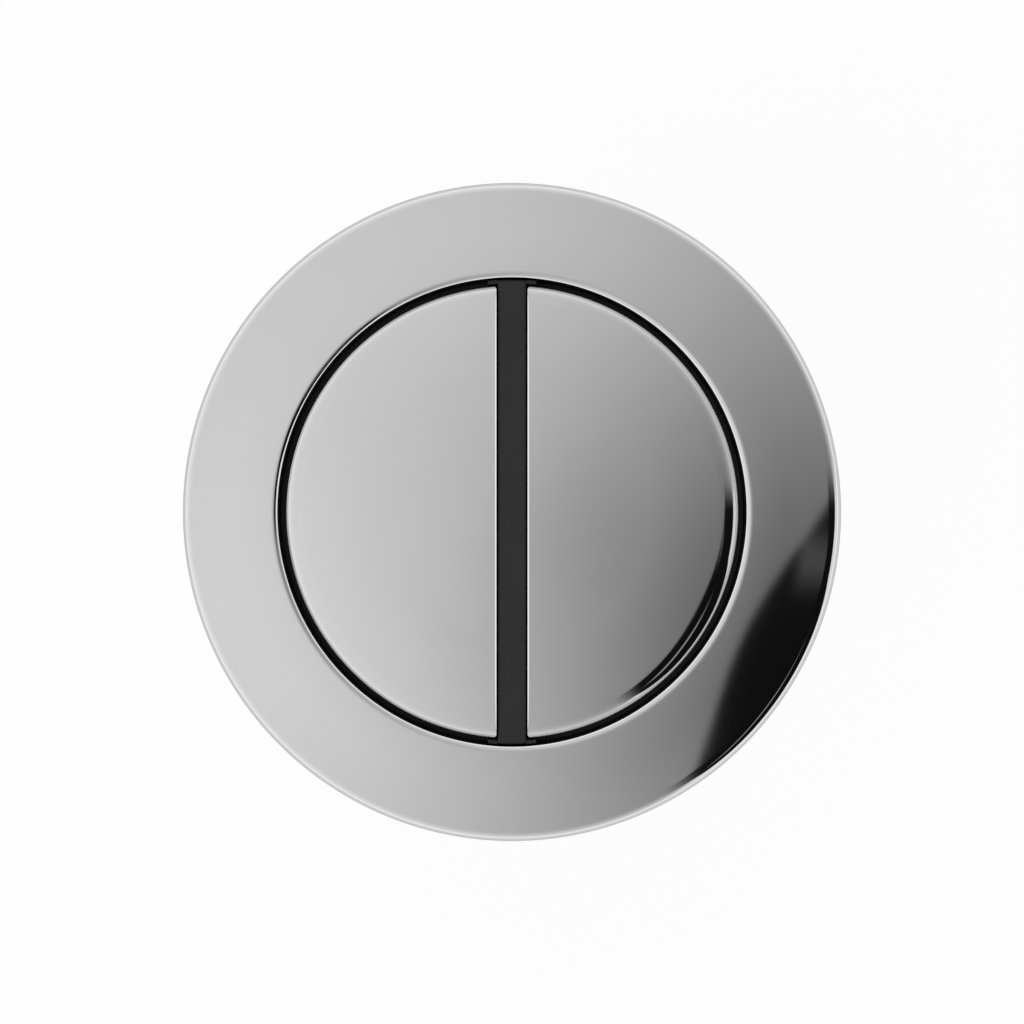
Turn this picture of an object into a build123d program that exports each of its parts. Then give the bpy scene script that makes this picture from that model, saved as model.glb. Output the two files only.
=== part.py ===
from build123d import *
from math import ceil, cos, radians, sin, sqrt, tan
import os

# Dual push button for a cistern lid: a chrome ring, two half-round caps and a black threaded body.
# Millimetres, +Z up. The origin is on the button's axis, level with the top of the lid it clamps to.
# The divider bar runs along Y. The half flush button is on +X and the full flush button on -X.

# Chrome ring
OPENING_D = 52.6  # clear opening that the caps sit in
RING_W = 10.7  # face of the ring, from the opening to the rim
RING_T = 1.8  # wall of the ring's face
RING_FALL = 0.2  # drop of the face from the opening to the rim
RIM_ROUND = 1.4  # rounding of the rim's top edge
OPENING_EDGE = 0.26  # drop of the soft edge round the opening
SKIRT_T = 1.6  # wall of the skirt below the rim
SKIRT_GAP = 0.3  # skirt to the lid
LIP_T = 1.8  # wall of the lip round the opening
LIP_H = 2.9  # lip, from its seat on the body to the face
HOOK_COUNT = 6  # snap hooks that hold the ring to the body
HOOK_SPAN = 14.0  # angle that each hook covers, degrees
HOOK_T = 1.0  # leg of a hook
HOOK_GAP = 0.15  # hook to the body's flange, and to the skirt
BARB_REACH = 0.8  # barb under the body's flange
BARB_T = 0.8  # barb, top to tip

# Soft edges of the ring's opening and of the caps
EDGE_ARC = 0.95  # share of the edge's bevel that its arc takes up

# Half-round caps
CAP_GAP = 0.9  # cap to the ring's opening
CAP_SPLIT = 3.5  # between the straight edges of the two caps
CAP_SINK = 0.2  # caps below the opening's edge
CAP_H = 8.0  # top to the foot of the skirt
CAP_ROOF_T = 1.8
CAP_WALL = 1.6
CAP_EDGE = 0.84  # drop of the soft curved edge
CAP_SPLIT_BEVEL = 0.25  # bevel along the straight edge
CAP_CORNER = 0.4  # corner between the two, seen from above
LUG_REACH = 0.7  # snap lugs that hold the plunger in the cap
LUG_H = 1.2
LUG_SPAN = 10.0  # angle of a lug on the curved wall, degrees
LUG_ANGLES = (-55.0, 0.0, 55.0)  # lugs on the curved wall
LUG_LENGTH = 4.0  # lugs on the straight wall

# Button travel
TRAVEL = 6.0  # press of a button
FLOOR_ROOM = 1.5  # cap's skirt to the floor when pressed

# Body
GASKET_T = 1.5
BODY_FLANGE_T = 2.0
BARREL_WALL = 2.85
BARREL_END = 28.0  # lid's top to the end of the barrel
BARREL_LEAD = 0.8  # chamfer that starts the nut
THREAD_PITCH = 3.0
THREAD_DEPTH = 1.1
THREAD_CREST = 0.9  # flat at the crest
THREAD_ROOT = 0.9  # flat at the root
THREAD_START = 2.0  # lid's top to the middle of the groove's upper end
THREAD_STEPS = 36  # straight lengths in a turn of the groove
WELL_GAP = 0.25  # cap to the wall of its well
LEDGE_DROP = 3.0  # ledge round the wells, below the ring's seat
FLOOR_T = 2.0
DIVIDER_GAP = 0.12  # divider bar to the caps
DIVIDER_END_GAP = 0.2  # divider bar to the ring's opening
DIVIDER_SINK = 0.9  # divider bar below the opening's edge
DIVIDER_FOOT_SPAN = 12.0  # angle of the feet at the ends of the bar, degrees
GUIDE_WALL = 1.9  # wall of the tube that guides a stem
GUIDE_L = 11.0  # tube below the floor
RIB_T = 1.6  # ribs from the tube to the barrel
RIB_H = 6.0
SEAT_WALL = 0.5  # boss inside the foot of the spring, beyond the guide's bore
SEAT_H = 1.5

# Gasket, washer and nut
GASKET_GAP = 0.7  # gasket to the barrel
GASKET_HOOK_GAP = 0.35  # gasket to the barbs of the hooks
LID_T = 10.0  # lid that the nut stands at
WASHER_T = 1.5
WASHER_W = 6.2  # from the barrel's clearance to the edge
WASHER_GAP = 0.3  # washer to the barrel
NUT_GAP = 0.15  # nut to the crest of the thread
NUT_H = 8.0
NUT_WALL = 3.6
NUT_FLANGE_T = 2.0
NUT_FLANGE_W = 2.0  # flange beyond the nut's wall
WING_COUNT = 8
WING_W = 4.5
WING_H = 2.8  # wing beyond the nut's wall

# Plunger, spring, clip, rod and lock nut
ROD_D = 6.0
ROD_GAP = 0.05  # rod to the thread of the stem and of the lock nut
ROD_GRIP = 13.0  # rod screwed into the stem
ROD_OUT = 43.0  # rod below the stem, foot included
FOOT_W = 2.0  # foot beyond the rod
FOOT_H = 3.0
FOOT_CHAMFER = 0.6
LOCK_NUT_WALL = 2.0  # lock nut beyond the rod, at its flats
LOCK_NUT_H = 5.0
GROOVE_DEPTH = 0.5  # groove for the clip
STEM_WALL = 0.45  # stem between the groove and the rod's thread
STEM_GAP = 0.1  # stem to its guide
STEM_INSET = 10.25  # axis of the stem from the straight edge of its cap
STEM_TAIL = 4.0  # stem beyond its clip
PLATE_T = 2.0
PLATE_GAP = 0.3  # plate to the walls of the cap
CLIP_T = 1.0
CLIP_W = 2.4
CLIP_SLOT = 6.0
CLIP_GAP = 0.05  # clip in its groove, and under the guide
WIRE_D = 0.8
SPRING_GAP = 0.45  # spring to the boss inside it
SPRING_TURNS = 5  # the first and last turns are closed
SPRING_STEPS = 16  # straight lengths of wire in a turn
WIRE_SIDES = 6
CLOSED_PITCH = 0.95  # rise of a closed turn

# Levels, up from the lid
SEAT_Z = GASKET_T + BODY_FLANGE_T
LEDGE_Z = SEAT_Z - LEDGE_DROP
FACE_Z = SEAT_Z + LIP_H
RIM_Z = FACE_Z - RING_FALL
CAP_TOP_Z = FACE_Z - CAP_SINK
ROOF_Z = CAP_TOP_Z - CAP_ROOF_T
PLATE_Z = ROOF_Z - PLATE_T
CAP_FOOT_Z = CAP_TOP_Z - CAP_H
FLOOR_Z = CAP_FOOT_Z - TRAVEL - FLOOR_ROOM
GUIDE_END_Z = FLOOR_Z - FLOOR_T - GUIDE_L
GROOVE_Z = GUIDE_END_Z
STEM_END_Z = GROOVE_Z - CLIP_T - 2 * CLIP_GAP - STEM_TAIL
ROD_END_Z = STEM_END_Z - ROD_OUT
WASHER_Z = -LID_T
NUT_Z = WASHER_Z - WASHER_T

# Radii, and the stem's place in the half-round
OPENING_R = OPENING_D / 2
RING_R = OPENING_R + RING_W
SKIRT_R = RING_R - SKIRT_T
HOOK_R = SKIRT_R - HOOK_GAP - HOOK_T
BODY_FLANGE_R = HOOK_R - HOOK_GAP
BARB_R = HOOK_R - BARB_REACH
CAP_R = OPENING_R - CAP_GAP
CAP_IN_R = CAP_R - CAP_WALL
SPLIT_X = CAP_SPLIT / 2
WELL_R = CAP_R + WELL_GAP
BARREL_R = WELL_R + BARREL_WALL
THREAD_R = ROD_D / 2 + ROD_GAP
GROOVE_R = THREAD_R + STEM_WALL
STEM_R = GROOVE_R + GROOVE_DEPTH
BORE_R = STEM_R + STEM_GAP
SEAT_R = BORE_R + SEAT_WALL
SPRING_R = SEAT_R + SPRING_GAP + WIRE_D / 2
STEM_X = SPLIT_X + STEM_INSET


def lathe(*points, rounds=None, span=360.0):
    """Turns a closed outline of (radius, height) points about Z, with some of its corners rounded."""
    radii = [(rounds or {}).get(i, 0) for i in range(len(points))]
    outline = FilletPolyline(*points, radius=radii, close=True)
    turned = revolve(Plane.XZ * make_face(outline), Axis.Z, span)
    return Rot(0, 0, -span / 2) * turned


def soft_edge(drop):
    """The radius that turns a face down by 45 degrees, just inside a bevel with that drop."""
    bevel = drop * sqrt(2)
    return EDGE_ARC * bevel / tan(radians(45 / 2))


def disc(radius, low, high, x=0.0):
    """An upright cylinder between two levels."""
    return Pos(x, 0, (low + high) / 2) * Cylinder(radius, high - low)


def half_round(radius, flat_x, corner, low, high):
    """A half-round block on +X, straight at flat_x, with two rounded corners."""
    outline = Circle(radius) & Pos(flat_x + radius, 0) * Rectangle(2 * radius, 2 * radius)
    corners = outline.vertices().sort_by(Axis.X)[:2]
    return Pos(0, 0, low) * extrude(fillet(corners, corner), high - low)


def make_bezel():
    """The chrome ring: face, rim, skirt and lip as one moulding, with snap hooks inside the skirt."""
    under_rim = RIM_Z - RING_T
    ring = lathe(
        (OPENING_R, SEAT_Z),
        (OPENING_R, FACE_Z - OPENING_EDGE),
        (OPENING_R + OPENING_EDGE, FACE_Z),
        (RING_R, RIM_Z),
        (RING_R, SKIRT_GAP),
        (SKIRT_R, SKIRT_GAP),
        (SKIRT_R, under_rim),
        (OPENING_R + LIP_T, FACE_Z - RING_T),
        (OPENING_R + LIP_T, SEAT_Z),
        rounds={2: soft_edge(OPENING_EDGE), 3: RIM_ROUND},
    )
    catch_z = GASKET_T - HOOK_GAP
    tip_z = catch_z - BARB_T
    hook = lathe(
        (HOOK_R, under_rim + RING_T / 2),
        (HOOK_R + HOOK_T, under_rim + RING_T / 2),
        (HOOK_R + HOOK_T, tip_z),
        (HOOK_R, tip_z),
        (BARB_R, catch_z - BARB_T / 2),
        (BARB_R, catch_z),
        (HOOK_R, catch_z),
        span=HOOK_SPAN,
    )
    hooks = [Rot(0, 0, i * 360 / HOOK_COUNT) * hook for i in range(HOOK_COUNT)]
    return ring + hooks


def make_groove():
    """The groove between the turns of the barrel's right-hand thread, past the end of the barrel."""
    turns = (BARREL_END - THREAD_START) / THREAD_PITCH + 1
    steps = ceil(turns * THREAD_STEPS)
    points = []
    for step in range(steps + 1):
        turn = radians(360 * step / THREAD_STEPS)
        height = (step - steps) * THREAD_PITCH / THREAD_STEPS - THREAD_START
        points.append((BARREL_R * cos(turn), BARREL_R * sin(turn), height))
    path = Polyline(*points)
    across = THREAD_PITCH - THREAD_CREST
    flare = (across - THREAD_ROOT) / THREAD_DEPTH
    outside = THREAD_DEPTH / 4
    mouth = across + flare * outside  # the cut opens a little outside the crest
    outline = make_face(
        Polyline(
            (-THREAD_DEPTH, -THREAD_ROOT / 2),
            (outside, -mouth / 2),
            (outside, mouth / 2),
            (-THREAD_DEPTH, THREAD_ROOT / 2),
            close=True,
        )
    )
    section = Plane(path @ 0, x_dir=(1, 0, 0), z_dir=path % 0) * outline
    return sweep(section, path, transition=Transition.RIGHT)


def make_body():
    """The black moulding: flange, threaded barrel, floor, divider bar, stem guides and their ribs."""
    barrel = lathe(
        (WELL_R, LEDGE_Z),
        (OPENING_R, LEDGE_Z),
        (OPENING_R, SEAT_Z),
        (BODY_FLANGE_R, SEAT_Z),
        (BODY_FLANGE_R, GASKET_T),
        (BARREL_R, GASKET_T),
        (BARREL_R, BARREL_LEAD - BARREL_END),
        (BARREL_R - BARREL_LEAD, -BARREL_END),
        (WELL_R, -BARREL_END),
    )
    inside_wall = WELL_R + BARREL_WALL / 3
    under_floor = FLOOR_Z - FLOOR_T
    floor = disc(inside_wall, under_floor, FLOOR_Z)
    divider_end = OPENING_R - DIVIDER_END_GAP
    divider_top = FACE_Z - DIVIDER_SINK
    divider = Box(CAP_SPLIT - 2 * DIVIDER_GAP, OPENING_D, divider_top - under_floor)
    divider = Pos(0, 0, (divider_top + under_floor) / 2) * divider
    divider &= disc(divider_end, under_floor, divider_top)
    foot = lathe(
        (WELL_R, divider_top),
        (divider_end, divider_top),
        (divider_end, LEDGE_Z),
        (WELL_R, LEDGE_Z),
        span=DIVIDER_FOOT_SPAN,
    )
    body = barrel - make_groove() + floor + divider + [Rot(0, 0, angle) * foot for angle in (90, -90)]
    for side in (1, -1):
        guide_r = BORE_R + GUIDE_WALL
        body += disc(guide_r, GUIDE_END_Z, under_floor, side * STEM_X)
        body += disc(SEAT_R, FLOOR_Z, FLOOR_Z + SEAT_H, side * STEM_X)
        rib_z = under_floor - RIB_H / 2
        across = Pos(side * STEM_X, 0, rib_z) * Box(RIB_T, 2 * WELL_R, RIB_H)
        outward = Pos(side * (STEM_X + WELL_R / 2), 0, rib_z) * Box(WELL_R, RIB_T, RIB_H)
        body += (across + outward) & disc(inside_wall, under_floor - RIB_H, under_floor)
    for side in (1, -1):
        body -= disc(BORE_R, GUIDE_END_Z, FLOOR_Z + SEAT_H, side * STEM_X)
    return body


def make_cap():
    """A half-round cap on +X: a plated shell with a soft curved edge and a crisp straight one."""
    turned = lathe(
        (0, CAP_FOOT_Z),
        (CAP_R, CAP_FOOT_Z),
        (CAP_R, CAP_TOP_Z - CAP_EDGE),
        (CAP_R - CAP_EDGE, CAP_TOP_Z),
        (0, CAP_TOP_Z),
        rounds={3: soft_edge(CAP_EDGE)},
    )
    side_view = Polyline(
        (SPLIT_X, CAP_FOOT_Z),
        (SPLIT_X, CAP_TOP_Z - CAP_SPLIT_BEVEL),
        (SPLIT_X + CAP_SPLIT_BEVEL, CAP_TOP_Z),
        (CAP_R, CAP_TOP_Z),
        (CAP_R, CAP_FOOT_Z),
        close=True,
    )
    crisp = extrude(Plane.XZ * make_face(side_view), CAP_R, both=True)
    block = half_round(CAP_R, SPLIT_X, CAP_CORNER, CAP_FOOT_Z, CAP_TOP_Z)
    hollow = half_round(CAP_IN_R, SPLIT_X + CAP_WALL, CAP_CORNER, CAP_FOOT_Z, ROOF_Z)
    cap = (block & turned & crisp) - hollow

    in_wall = CAP_WALL / 2
    lug = lathe(
        (CAP_IN_R - LUG_REACH, PLATE_Z),
        (CAP_IN_R + in_wall, PLATE_Z),
        (CAP_IN_R + in_wall, PLATE_Z - LUG_H),
        (CAP_IN_R, PLATE_Z - LUG_H),
        span=LUG_SPAN,
    )
    cap += [Rot(0, 0, angle) * lug for angle in LUG_ANGLES]
    flat_x = SPLIT_X + CAP_WALL
    wedge = Polyline(
        (flat_x + LUG_REACH, PLATE_Z),
        (flat_x - in_wall, PLATE_Z),
        (flat_x - in_wall, PLATE_Z - LUG_H),
        (flat_x, PLATE_Z - LUG_H),
        close=True,
    )
    flat_lug = extrude(Plane.XZ * make_face(wedge), LUG_LENGTH / 2, both=True)
    cap += [Pos(0, side * CAP_IN_R / 2, 0) * flat_lug for side in (1, -1)]
    return cap


def make_plunger():
    """The plate that snaps into a cap, and its grooved and tapped stem."""
    plate = half_round(CAP_IN_R - PLATE_GAP, SPLIT_X + CAP_WALL + PLATE_GAP, CAP_CORNER, PLATE_Z, ROOF_Z)
    stem = disc(STEM_R, STEM_END_Z, PLATE_Z, STEM_X)
    groove_low = GROOVE_Z - CLIP_T - 2 * CLIP_GAP
    groove = disc(STEM_R, groove_low, GROOVE_Z, STEM_X)
    groove -= disc(GROOVE_R, groove_low, GROOVE_Z, STEM_X)
    tapped = disc(THREAD_R, STEM_END_Z, STEM_END_Z + ROD_GRIP + ROD_GAP, STEM_X)
    return plate + stem - groove - tapped


def make_spring():
    """A return spring with closed and ground ends, from the floor to the plunger's plate."""
    length = PLATE_Z - FLOOR_Z
    open_pitch = (length - 2 * CLOSED_PITCH) / (SPRING_TURNS - 2)
    points = []
    for step in range(SPRING_TURNS * SPRING_STEPS + 1):
        turn = step / SPRING_STEPS
        closed_turns = min(turn, 1) + max(turn - SPRING_TURNS + 1, 0)
        height = closed_turns * CLOSED_PITCH + (turn - closed_turns) * open_pitch
        points.append((SPRING_R * cos(radians(360 * turn)), SPRING_R * sin(radians(360 * turn)), height))
    coil = Polyline(*points)
    section = Plane(coil @ 0, z_dir=coil % 0) * RegularPolygon(WIRE_D / 2, WIRE_SIDES)
    wire = sweep(section, coil, transition=Transition.RIGHT)
    ground = disc(SPRING_R + WIRE_D, 0, length)
    return Pos(STEM_X, 0, FLOOR_Z) * (wire & ground)


def make_clip():
    """The open ring in the stem's groove."""
    top = GROOVE_Z - CLIP_GAP
    inner = GROOVE_R + CLIP_GAP
    ring = disc(inner + CLIP_W, top - CLIP_T, top, STEM_X) - disc(inner, top - CLIP_T, top, STEM_X)
    slot = Pos(STEM_X, inner + CLIP_W, top - CLIP_T / 2) * Box(CLIP_SLOT, 2 * (inner + CLIP_W), CLIP_T)
    return ring - slot


def make_rod():
    """The push rod, with a broad foot for the flush valve."""
    rod_r = ROD_D / 2
    foot_r = rod_r + FOOT_W
    foot_z = ROD_END_Z + FOOT_H
    rod = lathe(
        (0, ROD_END_Z),
        (foot_r - FOOT_CHAMFER, ROD_END_Z),
        (foot_r, ROD_END_Z + FOOT_CHAMFER),
        (foot_r, foot_z),
        (rod_r, foot_z),
        (rod_r, STEM_END_Z + ROD_GRIP),
        (0, STEM_END_Z + ROD_GRIP),
    )
    return Pos(STEM_X, 0, 0) * rod


def make_lock_nut():
    """The hexagon nut that locks the rod against the end of the stem."""
    low = STEM_END_Z - LOCK_NUT_H
    hexagon = RegularPolygon(ROD_D / 2 + LOCK_NUT_WALL, 6, major_radius=False)
    return Pos(STEM_X, 0, low) * extrude(hexagon, LOCK_NUT_H) - disc(THREAD_R, low, STEM_END_Z, STEM_X)


def make_gasket():
    """The soft ring between the body's flange and the lid."""
    return disc(BARB_R - GASKET_HOOK_GAP, 0, GASKET_T) - disc(BARREL_R + GASKET_GAP, 0, GASKET_T)


def make_washer():
    """The slip washer under the lid."""
    inner = BARREL_R + WASHER_GAP
    return disc(inner + WASHER_W, NUT_Z, WASHER_Z) - disc(inner, NUT_Z, WASHER_Z)


def make_nut():
    """The clamp nut: a flanged ring with finger wings."""
    inner = BARREL_R + NUT_GAP
    outer = inner + NUT_WALL
    low = NUT_Z - NUT_H
    nut = disc(outer, low, NUT_Z) + disc(outer + NUT_FLANGE_W, NUT_Z - NUT_FLANGE_T, NUT_Z)
    wing = Pos(outer, 0, (low + NUT_Z) / 2) * Box(2 * WING_H, WING_W, NUT_H)
    nut += [Rot(0, 0, i * 360 / WING_COUNT) * wing for i in range(WING_COUNT)]
    return nut - disc(inner, low, NUT_Z)


nodes = {
    "bezel": make_bezel(),
    "button_body": make_body(),
    "flange_gasket": make_gasket(),
    "clamp_washer": make_washer(),
    "clamp_nut": make_nut(),
}
button = {
    "cap": make_cap(),
    "plunger": make_plunger(),
    "spring": make_spring(),
    "clip": make_clip(),
    "rod": make_rod(),
    "lock_nut": make_lock_nut(),
}
for name, piece in button.items():
    nodes[f"half_flush_{name}"] = piece
    nodes[f"full_flush_{name}"] = Rot(0, 0, 180) * piece

os.makedirs("parts", exist_ok=True)
for name, piece in nodes.items():
    export_step(piece, f"parts/{name}.step")
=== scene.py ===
# %% [markdown]
# # A dual push button for a cistern lid
# The object is a chrome ring with two half-round caps in it, one for a small flush and one for a
# full flush. Below the ring a black threaded body goes through the lid, and a winged nut clamps it
# from underneath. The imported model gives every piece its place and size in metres, with +Z up. It
# is loaded first, and its box is kept, because nothing that is modelled here may grow past it.

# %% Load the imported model
from math import ceil, cos, hypot, pi, radians, sin

import bmesh
import bpy
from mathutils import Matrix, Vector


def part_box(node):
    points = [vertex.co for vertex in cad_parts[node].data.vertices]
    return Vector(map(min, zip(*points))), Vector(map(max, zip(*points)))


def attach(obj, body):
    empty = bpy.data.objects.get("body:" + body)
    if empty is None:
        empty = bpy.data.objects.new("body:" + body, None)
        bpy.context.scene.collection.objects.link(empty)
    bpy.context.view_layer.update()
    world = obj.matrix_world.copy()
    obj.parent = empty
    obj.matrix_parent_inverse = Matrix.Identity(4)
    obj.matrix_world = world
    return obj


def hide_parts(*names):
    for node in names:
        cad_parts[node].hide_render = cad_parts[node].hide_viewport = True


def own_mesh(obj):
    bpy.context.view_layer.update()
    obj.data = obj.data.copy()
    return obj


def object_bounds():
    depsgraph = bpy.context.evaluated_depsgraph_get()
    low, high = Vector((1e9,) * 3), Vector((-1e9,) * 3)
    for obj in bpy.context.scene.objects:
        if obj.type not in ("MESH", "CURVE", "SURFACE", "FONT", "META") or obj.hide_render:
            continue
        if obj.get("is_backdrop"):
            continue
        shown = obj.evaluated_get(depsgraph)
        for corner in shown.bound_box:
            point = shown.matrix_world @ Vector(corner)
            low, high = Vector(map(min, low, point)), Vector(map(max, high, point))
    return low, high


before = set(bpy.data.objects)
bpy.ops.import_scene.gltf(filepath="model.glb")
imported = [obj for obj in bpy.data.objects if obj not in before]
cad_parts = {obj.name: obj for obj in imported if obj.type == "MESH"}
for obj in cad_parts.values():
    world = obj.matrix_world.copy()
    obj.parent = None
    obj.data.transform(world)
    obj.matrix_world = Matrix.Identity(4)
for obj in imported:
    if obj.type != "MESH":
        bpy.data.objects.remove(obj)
cad_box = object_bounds()
print("nodes:", sorted(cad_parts))

# %% [markdown]
# ## A few hand tools
# Most of the pieces are turned or moulded, so three habits cover them. An outline is drawn by
# extruding a single vertex from corner to corner, its corners are rounded with a vertex bevel, and
# it is spun round the axis. Blocks start as a primitive that is bevelled. Pieces are then joined or
# cut with a Boolean modifier. An operator acts on all that is selected, so each tool starts by
# deselecting everything, and points, edges and faces are then picked by their place.

# %% Selecting
NEAR = 0.00002  # two places closer than this are the same
WELD = NEAR / 4  # points closer than this are merged
LEVEL_NORMAL = 0.9  # a face with this much of its normal along Z is level


def only(piece):
    """Selects one piece and makes it the active one."""
    bpy.ops.object.select_all(action="DESELECT")
    piece.select_set(True)
    bpy.context.view_layer.objects.active = piece


def edit(piece):
    """Opens one piece in edit mode, with all of it selected."""
    only(piece)
    bpy.ops.object.mode_set(mode="EDIT")
    bpy.ops.mesh.select_all(action="SELECT")


def done():
    """Goes back to object mode."""
    bpy.ops.object.mode_set(mode="OBJECT")


def named(name):
    """Names the primitive that was just added, and moves its place into its mesh."""
    piece = bpy.context.object
    piece.name = name
    piece.data.name = name
    bpy.ops.object.transform_apply(location=True, rotation=True, scale=True)
    return piece


def pick_points(piece, test):
    """Selects the vertices whose place passes the test."""
    bpy.ops.mesh.select_mode(type="VERT")
    bpy.ops.mesh.select_all(action="DESELECT")
    mesh = bmesh.from_edit_mesh(piece.data)
    for vertex in mesh.verts:
        vertex.select_set(test(vertex.co))
    mesh.select_flush_mode()
    bmesh.update_edit_mesh(piece.data)


def pick_edges(piece, test):
    """Selects the edges whose two ends pass the test."""
    bpy.ops.mesh.select_mode(type="EDGE")
    bpy.ops.mesh.select_all(action="DESELECT")
    mesh = bmesh.from_edit_mesh(piece.data)
    for edge in mesh.edges:
        edge.select_set(test(edge.verts[0].co, edge.verts[1].co))
    mesh.select_flush_mode()
    bmesh.update_edit_mesh(piece.data)


def pick_faces(piece, test):
    """Selects the faces whose middle and normal pass the test."""
    bpy.ops.mesh.select_mode(type="FACE")
    bpy.ops.mesh.select_all(action="DESELECT")
    mesh = bmesh.from_edit_mesh(piece.data)
    for face in mesh.faces:
        face.select_set(test(face.calc_center_median(), face.normal))
    mesh.select_flush_mode()
    bmesh.update_edit_mesh(piece.data)


def cut_off(point, normal):
    """Cuts the open piece with a plane, drops what is in front of the plane and fills the cut."""
    length = hypot(*normal)
    bpy.ops.mesh.select_all(action="SELECT")
    bpy.ops.mesh.bisect(
        plane_co=point,
        plane_no=[part / length for part in normal],
        use_fill=True,
        clear_outer=True,
        threshold=NEAR / 100,
    )


# %% Drawing, turning and joining
def draw(name, corners):
    """Draws a line of (radius, height) corners by extruding one vertex, and stays in edit mode."""
    bpy.ops.object.select_all(action="DESELECT")
    bpy.ops.mesh.primitive_plane_add(size=NEAR)
    piece = named(name)
    edit(piece)
    bpy.ops.mesh.select_mode(type="VERT")  # a lone vertex can't be selected in the other modes
    bpy.ops.mesh.merge(type="CENTER")
    x, z = corners[0][:2]
    bpy.ops.transform.translate(value=(x, 0, z))
    for corner in corners[1:]:
        step = (corner[0] - x, 0, corner[1] - z)
        bpy.ops.mesh.extrude_vertices_move(TRANSFORM_OT_translate={"value": step})
        x, z = corner[:2]
    return piece


def outline(name, corners, segments=6):
    """Draws a closed and filled outline. A corner with a third number is rounded by that much."""
    piece = draw(name, corners + corners[:1])
    bpy.ops.mesh.select_all(action="SELECT")
    bpy.ops.mesh.remove_doubles(threshold=WELD)
    bpy.ops.mesh.edge_face_add()
    for corner in corners:
        if len(corner) == 3:
            pick_points(piece, lambda at: hypot(at.x - corner[0], at.z - corner[1]) < NEAR)
            bpy.ops.mesh.bevel(offset=corner[2], segments=segments, affect="VERTICES")
    return piece


def turned(name, corners, sides, segments=6, x=0.0):
    """Spins a closed outline of (radius, height) corners about an axis along Z, at the given x."""
    piece = outline(name, corners, segments)
    bpy.ops.mesh.select_all(action="SELECT")
    bpy.ops.mesh.delete(type="ONLY_FACE")
    bpy.ops.mesh.select_all(action="SELECT")
    bpy.ops.mesh.spin(steps=sides, angle=2 * pi, center=(0, 0, 0), axis=(0, 0, 1))
    bpy.ops.mesh.select_all(action="SELECT")
    bpy.ops.mesh.remove_doubles(threshold=WELD)
    bpy.ops.mesh.delete_loose()  # an outline that touches the axis leaves an edge there
    bpy.ops.mesh.select_all(action="SELECT")
    bpy.ops.mesh.normals_make_consistent(inside=False)
    bpy.ops.transform.translate(value=(x, 0, 0))
    done()
    return piece


def arc_piece(name, corners, span, steps, angle=0.0):
    """Spins a filled outline through a short arc about the Z axis, with its middle at an angle."""
    piece = outline(name, corners)
    bpy.ops.mesh.select_all(action="SELECT")
    bpy.ops.transform.rotate(value=-span / 2 - angle, orient_axis="Z", center_override=(0, 0, 0))
    bpy.ops.mesh.spin(steps=steps, angle=span, center=(0, 0, 0), axis=(0, 0, 1))
    bpy.ops.mesh.select_all(action="SELECT")
    bpy.ops.mesh.normals_make_consistent(inside=False)
    done()
    return piece


def block(name, low, high, rounding=0.0, segments=3):
    """A box between two corners, with all of its edges rounded."""
    bpy.ops.object.select_all(action="DESELECT")
    middle = [(a + b) / 2 for a, b in zip(low, high)]
    bpy.ops.mesh.primitive_cube_add(size=1, location=middle, scale=[b - a for a, b in zip(low, high)])
    piece = named(name)
    if rounding:
        edit(piece)
        bpy.ops.mesh.bevel(offset=rounding, segments=segments, affect="EDGES")
        done()
    return piece


def cylinder(name, radius, low, high, sides):
    """A cylinder on the Z axis between two heights."""
    bpy.ops.object.select_all(action="DESELECT")
    bpy.ops.mesh.primitive_cylinder_add(
        vertices=sides,
        radius=radius,
        depth=high - low,
        location=(0, 0, (high + low) / 2),
    )
    return named(name)


def combine(piece, tool, how):
    """Joins a tool to a piece, cuts it from the piece or keeps what they share, and deletes the tool."""
    assert tool.data.polygons, f"{tool.name} is empty"
    only(piece)
    bpy.ops.object.modifier_add(type="BOOLEAN")
    step = piece.modifiers[-1]
    step.operation = how
    step.solver = "EXACT"
    step.object = tool
    bpy.ops.object.modifier_apply(modifier=step.name)
    bpy.data.objects.remove(tool)


def copy_turned(piece, name, angle):
    """A copy with its own mesh, turned about the Z axis."""
    only(piece)
    bpy.ops.object.duplicate(linked=False)
    copy = bpy.context.object
    copy.rotation_euler.z = angle
    return named(name)


def smooth(piece, angle=30.0):
    """Smooth shading up to an angle, with normals that follow the larger faces."""
    only(piece)
    bpy.ops.object.shade_smooth_by_angle(angle=radians(angle))
    bpy.ops.object.modifier_add(type="WEIGHTED_NORMAL")
    piece.modifiers[-1].keep_sharp = True
    bpy.ops.object.modifier_apply(modifier=piece.modifiers[-1].name)
    print(piece.name, len(piece.data.polygons), "faces")


# %% [markdown]
# ## The chrome ring
# The ring is one moulding: a broad face, a rounded rim, a skirt that hides the lid's hole and a lip
# round the opening. It could be a cylinder with a hole and some bevels, but one drawn section that
# is spun gives the exact rim. Its face is crowned a little, falling towards the rim. It eases down
# just before the opening, where the edge turns down softly. On polished chrome the reflections show
# the smallest slope, so the face has many rings and not one flat strip.

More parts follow.
